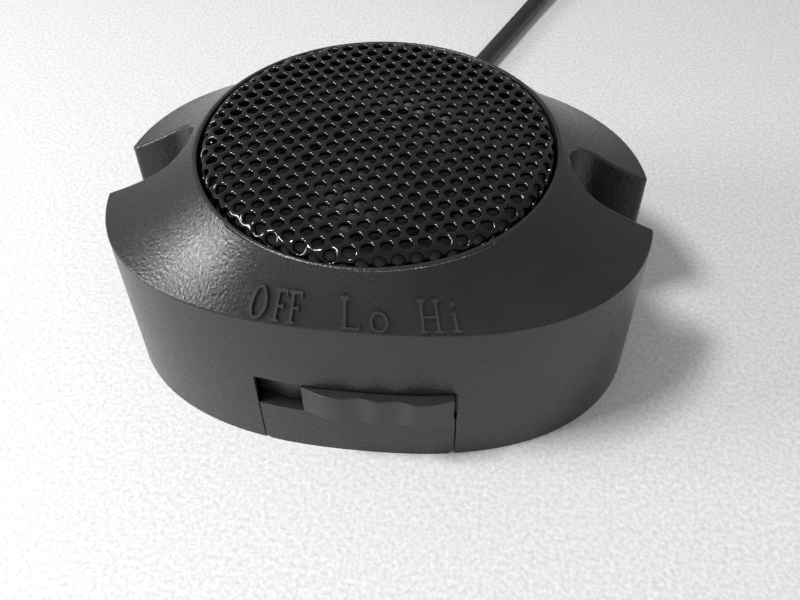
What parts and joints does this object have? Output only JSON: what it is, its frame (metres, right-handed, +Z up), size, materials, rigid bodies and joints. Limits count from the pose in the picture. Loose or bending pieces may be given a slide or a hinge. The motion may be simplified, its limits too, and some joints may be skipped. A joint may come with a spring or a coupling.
{
  "type": "car tweeter",
  "caption": "Surface-mount dome tweeter in an oval black housing with a round perforated grille, screw notches at both ends, a slide level switch and a free two-core lead.",
  "frame": {"origin": "middle of the flat underside", "axes": "+Z up out of the grille, +X along the long side towards the right-hand notch, -Y towards the front wall with the slide switch"},
  "size_m": [0.0799, 0.1768, 0.0325],
  "materials": {
    "housing": "fine spark-textured black ABS",
    "grille": "gloss black paint on perforated steel",
    "knob": "satin black ABS",
    "steel": "zinc-plated steel",
    "brass": "plain brass",
    "copper": "enamelled copper winding",
    "ferrite": "ground ferrite",
    "film": "coated silk",
    "surround": "damped fabric half-roll",
    "felt": "grey wool felt",
    "frame": "moulded black plastic",
    "phenolic": "brown phenolic board",
    "sleeve": "blue shrink sleeve",
    "ceramic": "cream resistor body",
    "rubber": "soft black rubber",
    "cord": "satin black PVC",
    "insulation_red": "red PVC",
    "insulation_black": "black PVC"
  },
  "bodies": {
    "enclosure": {"housing_shell": "housing", "base_plate": "housing", "grille": "grille", "base_screw_1": "steel", "base_screw_2": "steel", "base_screw_3": "steel", "base_screw_4": "steel", "driver_frame": "frame", "top_plate": "steel", "ring_magnet": "ferrite", "t_yoke": "steel", "pole_felt": "felt", "driver_screw_1": "steel", "driver_screw_2": "steel", "driver_screw_3": "steel", "terminal_board": "phenolic", "terminal_plus": "brass", "terminal_minus": "brass", "switch_frame": "steel", "switch_base": "phenolic", "switch_pin_1": "brass", "switch_pin_2": "brass", "switch_pin_3": "brass", "switch_pin_4": "brass", "switch_screw_1": "steel", "switch_screw_2": "steel", "capacitor": "sleeve", "resistor": "ceramic", "wire_supply_plus": "insulation_red", "wire_supply_minus": "insulation_black", "wire_switch_capacitor": "insulation_black", "wire_capacitor_driver": "insulation_red", "wire_switch_resistor": "insulation_black", "cord_grommet": "rubber", "supply_cord": "cord", "cord_coil": "cord", "core_plus": "insulation_red", "core_minus": "insulation_black"},
    "switch_slide": {"switch_knob": "knob", "switch_slider": "frame", "switch_contact": "brass"},
    "diaphragm": {"surround": "surround", "dome": "film", "voice_coil_former": "film", "voice_coil": "copper"}
  },
  "joints": [
    {"name": "level_switch", "type": "slide", "parent": "enclosure", "child": "switch_slide", "axis": [1, 0, 0], "range_m": [-0.0058, 0]},
    {"name": "dome_excursion", "type": "slide", "parent": "enclosure", "child": "diaphragm", "axis": [0, 0, 1], "range_m": [-0.0003, 0.0003], "stiffness_N_per_m": 60, "deforming": ["surround"]}
  ]
}
